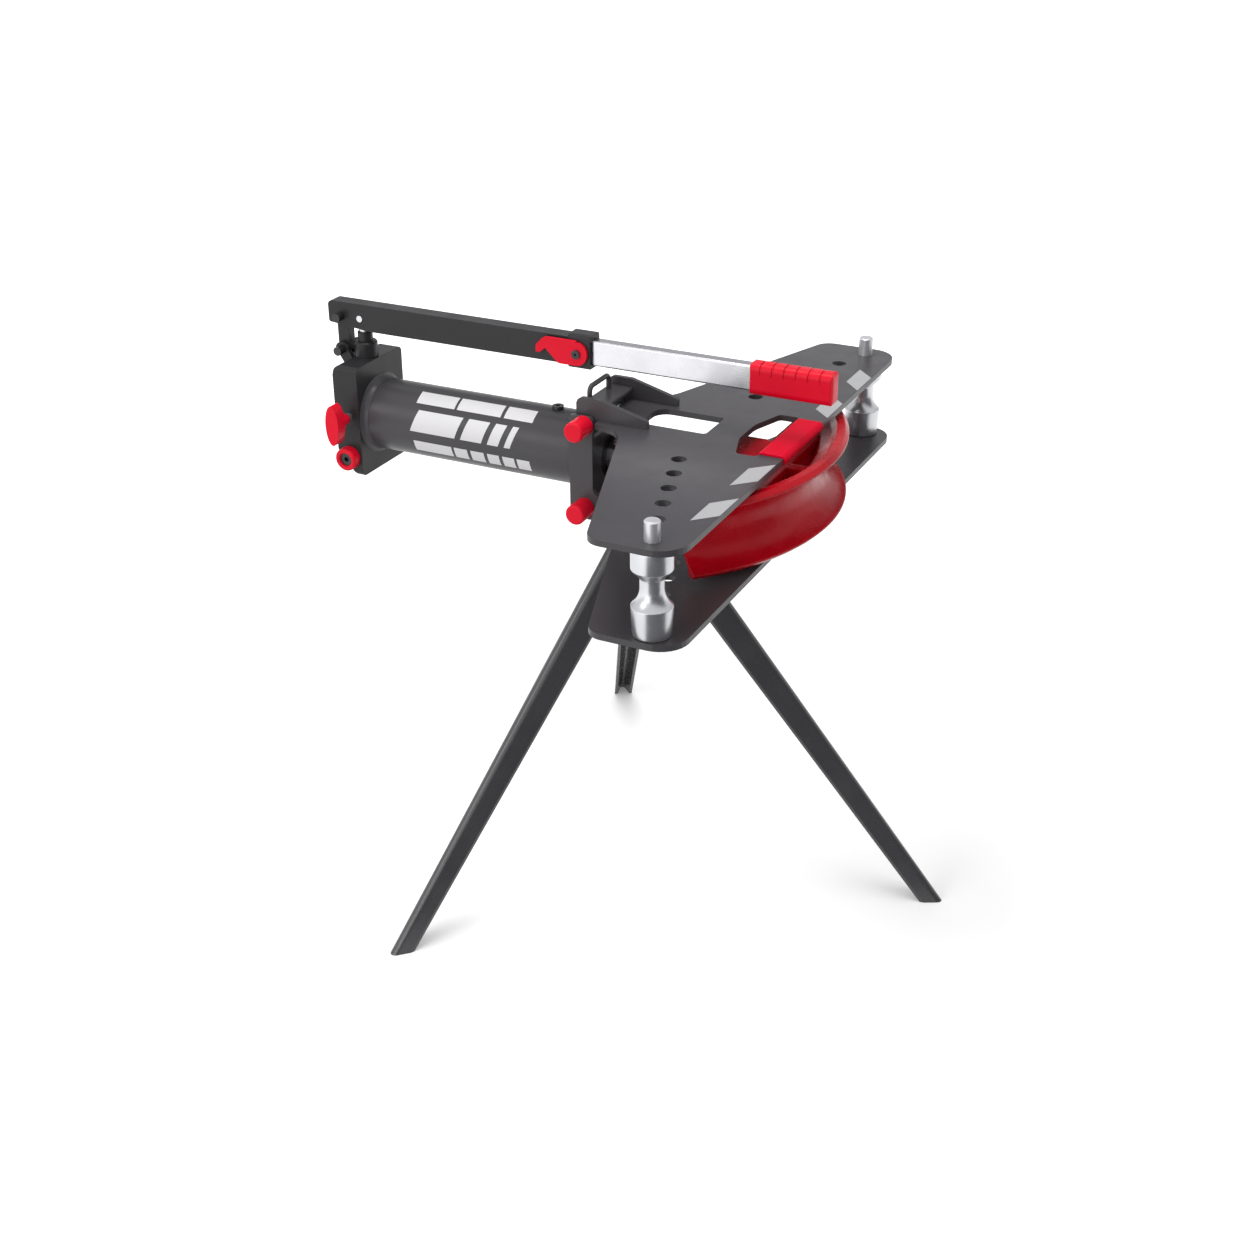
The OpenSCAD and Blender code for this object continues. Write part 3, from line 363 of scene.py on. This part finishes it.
def turned_roller(node):
    """A roller turned on the CAD roller's axis, with the same ends and a flare that curves into the neck."""
    low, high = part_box(node)
    bore = (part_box(node.replace("roller", "roller_pin"))[1][0] - ROLLER_X) / MM + BORE_GAP
    rim, half = (high[0] - low[0]) / 2 / MM, (high[2] - low[2]) / 2 / MM
    neck = rim - NECK_IN
    axis_y = middle(node, 1)
    path = rounded_path([
        (bore, -half, 0), (rim - FOOT_IN, -half, EDGE_ROUND), (rim, BELLY_Z, BELLY_ROUND),
        (neck, NECK_LOW_Z, FLARE_ROUND), (neck, NECK_HIGH_Z, NECK_ROUND), (rim, COLLAR_Z, COLLAR_ROUND),
        (rim, half, EDGE_ROUND), (bore, half, 0)])
    points, faces = [], []
    for i in range(TURN_STEPS):
        turn = 2 * math.pi * i / TURN_STEPS
        points += [(ROLLER_X + r * MM * math.cos(turn), axis_y + r * MM * math.sin(turn), RAM_Z + z * MM)
                   for r, z in path]
    count = len(path)
    for i in range(TURN_STEPS):
        here, there = i * count, (i + 1) % TURN_STEPS * count
        for k in range(count):
            after = (k + 1) % count
            faces.append((here + k, there + k, there + after, here + after))
    piece = mesh_piece(f"turned_{node}", points, faces, turned_steel, node)
    piece.data.shade_smooth()
    piece.data.set_sharp_from_angle(angle=SHARP_ANGLE)
    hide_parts(node)


turned_roller("roller_left")
turned_roller("roller_right")


# Stage, light and camera

FLOOR_HALF = 30.0
floor_mesh = bpy.data.meshes.new("floor")
floor_mesh.from_pydata(
    [(-FLOOR_HALF, -FLOOR_HALF, 0), (FLOOR_HALF, -FLOOR_HALF, 0), (FLOOR_HALF, FLOOR_HALF, 0),
     (-FLOOR_HALF, FLOOR_HALF, 0)], [], [(0, 1, 2, 3)])
floor = bpy.data.objects.new("floor", floor_mesh)
bpy.context.collection.objects.link(floor)


def seen_rays(tree):
    """1 for the rays that show the background: straight, mirrored and through glass."""
    rays = tree.nodes.new("ShaderNodeLightPath")
    seen = rays.outputs["Is Camera Ray"]
    for kind in ("Is Glossy Ray", "Is Transmission Ray"):
        seen = combine(tree, "MAXIMUM", seen, rays.outputs[kind])
    return seen


# How far the floor glows up to white by itself, by distance in metres from the middle, with painted light
# over the shade under the middle, and how much less it glows between two distances from a foot, as painted
# shadow round the feet
FLOOR_FILL_AND_PAINTED_LIGHT = ((0.0, 0.62), (0.22, 0.48), (0.34, 0.34), (0.42, 0.27), (0.8, 0.46), (2.4, 1.0))
PAINTED_FOOT_SHADOW, PAINTED_SHADOW_NEAR, PAINTED_SHADOW_FAR = 0.18, 0.05, 0.27
# The floor is brighter to the camera than to the light it throws back
FLOOR_SEEN, FLOOR_THROWN = 0.85, 0.60
WHITE = (1, 1, 1, 1)
# The strength of the world's light where the world itself isn't seen
AMBIENT = 0.75
# How much bluer than grey the dark cards are
CARD_BLUE = 1.12


def foot_of(leg):
    """Where a leg stands: the corner of its box that is farthest from the hub."""
    corner = []
    for axis in (0, 1):
        hub, ends = middle("leg_hub", axis), (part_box(leg)[0][axis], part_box(leg)[1][axis])
        corner.append(max(ends, key=lambda end: abs(end - hub)))
    return (*corner, 0.0)


def distance_from(tree, point):
    """The distance of the shaded place from a point."""
    place = tree.nodes.new("ShaderNodeTexCoord")
    away = tree.nodes.new("ShaderNodeVectorMath")
    away.operation = "DISTANCE"
    away.inputs[1].default_value = point
    tree.links.new(place.outputs["Object"], away.inputs[0])
    return away.outputs["Value"]


def from_nearest_foot(tree):
    """The distance from the nearest foot."""
    nearest, *others = (distance_from(tree, foot_of(leg)) for leg in LEGS)
    for other in others:
        nearest = combine(tree, "MINIMUM", nearest, other)
    return nearest


def white_floor_painted_shade():
    """A white floor that keeps soft shadows and glows up to white where it is lit, with painted light in the
    middle and painted shadow round the feet.
    """
    material, tree, shader = new_material("white_floor_painted_shade", Emission_Color=WHITE, **MATT)
    seen = seen_rays(tree)
    base = blend_colours(tree, seen, (FLOOR_THROWN,) * 3, (FLOOR_SEEN,) * 3)
    tree.links.new(base, shader.inputs["Base Color"])
    # Painted light: the glow is stronger in the middle than round the feet, over the shade under the machine.
    fill = tree.nodes.new("ShaderNodeValToRGB")
    stops = fill.color_ramp.elements
    reach = FLOOR_FILL_AND_PAINTED_LIGHT[-1][0]
    for away, _ in FLOOR_FILL_AND_PAINTED_LIGHT[1:-1]:
        stops.new(away / reach)
    for stop, (away, level) in zip(stops, FLOOR_FILL_AND_PAINTED_LIGHT):
        stop.position = away / reach
        stop.color = (level, level, level, 1)
    tree.links.new(combine(tree, "DIVIDE", distance_from(tree, (0, 0, 0)), reach), fill.inputs["Fac"])
    # Painted shadow: the glow drops close to each foot.
    painted_shadow = add(tree, "ShaderNodeMapRange", From_Min=PAINTED_SHADOW_NEAR, From_Max=PAINTED_SHADOW_FAR, To_Min=PAINTED_FOOT_SHADOW, To_Max=0.0)
    tree.links.new(from_nearest_foot(tree), painted_shadow.inputs["Value"])
    rest = combine(tree, "SUBTRACT", fill.outputs["Color"], painted_shadow.outputs["Result"])
    tree.links.new(combine(tree, "MULTIPLY", seen, rest), shader.inputs["Emission Strength"])
    return material


floor_mesh.materials.append(white_floor_painted_shade())


def white_world():
    """White to the camera and in reflections, and a soft even light for the rest."""
    world = bpy.data.worlds.new("studio")
    bpy.context.scene.world = world
    world.use_nodes = True
    tree = world.node_tree
    background = tree.nodes["Background"]
    background.inputs["Color"].default_value = WHITE
    strength = add(tree, "ShaderNodeMapRange", To_Min=AMBIENT, To_Max=1.0)
    tree.links.new(seen_rays(tree), strength.inputs["Value"])
    tree.links.new(strength.outputs["Result"], background.inputs["Strength"])


white_world()


def dark_card(name, corners, shade=0.1):
    """A dark card that shows in reflections only, as a studio flag does."""
    mesh = bpy.data.meshes.new(name)
    mesh.from_pydata(corners, [], [tuple(range(len(corners)))])
    mesh.materials.append(new_material(name, Base_Color=(shade, shade, CARD_BLUE * shade, 1), **MATT)[0])
    card = bpy.data.objects.new(name, mesh)
    card.visible_camera = card.visible_diffuse = card.visible_shadow = card.visible_transmission = False
    bpy.context.collection.objects.link(card)


def ring_sector(near, far, start, end, height, steps=12):
    """Corners of a flat ring sector about the middle of the scene, between two bearings."""
    bearings = [math.radians(start + (end - start) * i / steps) for i in range(steps + 1)]
    inner = [(near * math.cos(b), near * math.sin(b), height) for b in bearings]
    outer = [(far * math.cos(b), far * math.sin(b), height) for b in reversed(bearings)]
    return inner + outer


dark_card("front_flag", ring_sector(0.45, 2.6, -88, -5, 0.004))
dark_card("rear_flag", [(-2.8, 1.9, 1.3), (1.6, 2.2, 1.3), (1.6, 2.6, 3.4), (-2.8, 2.3, 3.4)], 0.4)
dark_card("corner_flag", [(0.9, -3.0, 0.0), (2.9, -0.9, 0.0), (2.9, -0.9, 1.7), (0.9, -3.0, 1.7)])
dark_card("side_flag", [(2.2, -1.9, 0.0), (2.6, 1.4, 0.0), (2.6, 1.4, 1.9), (2.2, -1.9, 1.9)])


CENTRE = Vector((0, 0, 0.4))


def softbox(name, place, size, power):
    """A rectangular area lamp at place that points at the middle of the object."""
    lamp = bpy.data.lights.new(name, "AREA")
    lamp.shape = "RECTANGLE"
    lamp.size, lamp.size_y = size
    lamp.energy = power
    holder = bpy.data.objects.new(name, lamp)
    holder.location = place
    holder.rotation_euler = (CENTRE - Vector(place)).to_track_quat("-Z", "Y").to_euler()
    bpy.context.collection.objects.link(holder)


softbox("top_light", (-0.1, 0.0, 2.4), (1.0, 1.0), 18)
softbox("front_light", (-1.4, -2.1, 1.7), (1.4, 1.0), 11)
softbox("low_light", (-0.35, -2.4, 0.8), (1.2, 0.6), 8)

# The camera as fitted to the photo: its place from the ram's axis at the roller line, its turns in degrees,
# and its focal length over the picture's width
CAMERA_OFFSET = Vector((596.8, -1528.5, 684.6)) * MM
CAMERA_YAW, CAMERA_PITCH, CAMERA_ROLL = 26.34, 27.26, 0.29
FOCAL_SHARE = 1800 / 1250


def photo_camera():
    """Sets up the camera."""
    yaw, pitch, roll = (math.radians(angle) for angle in (CAMERA_YAW, CAMERA_PITCH, CAMERA_ROLL))
    forward = Vector((-math.sin(yaw) * math.cos(pitch), math.cos(yaw) * math.cos(pitch), -math.sin(pitch)))
    level = Vector((math.cos(yaw), math.sin(yaw), 0))
    down = forward.cross(level)
    right = level * math.cos(roll) + down * math.sin(roll)
    up = level * math.sin(roll) - down * math.cos(roll)
    data = bpy.data.cameras.new("camera")
    data.sensor_fit = "HORIZONTAL"
    data.lens = data.sensor_width * FOCAL_SHARE
    camera = bpy.data.objects.new("camera", data)
    place = Vector((ROLLER_X, RAM_Y, RAM_Z)) + CAMERA_OFFSET
    turn = Matrix((right, up, -forward)).transposed()
    camera.matrix_world = Matrix.Translation(place) @ turn.to_4x4()
    bpy.context.collection.objects.link(camera)
    bpy.context.scene.camera = camera


photo_camera()
bpy.context.scene.view_settings.view_transform = "Standard"
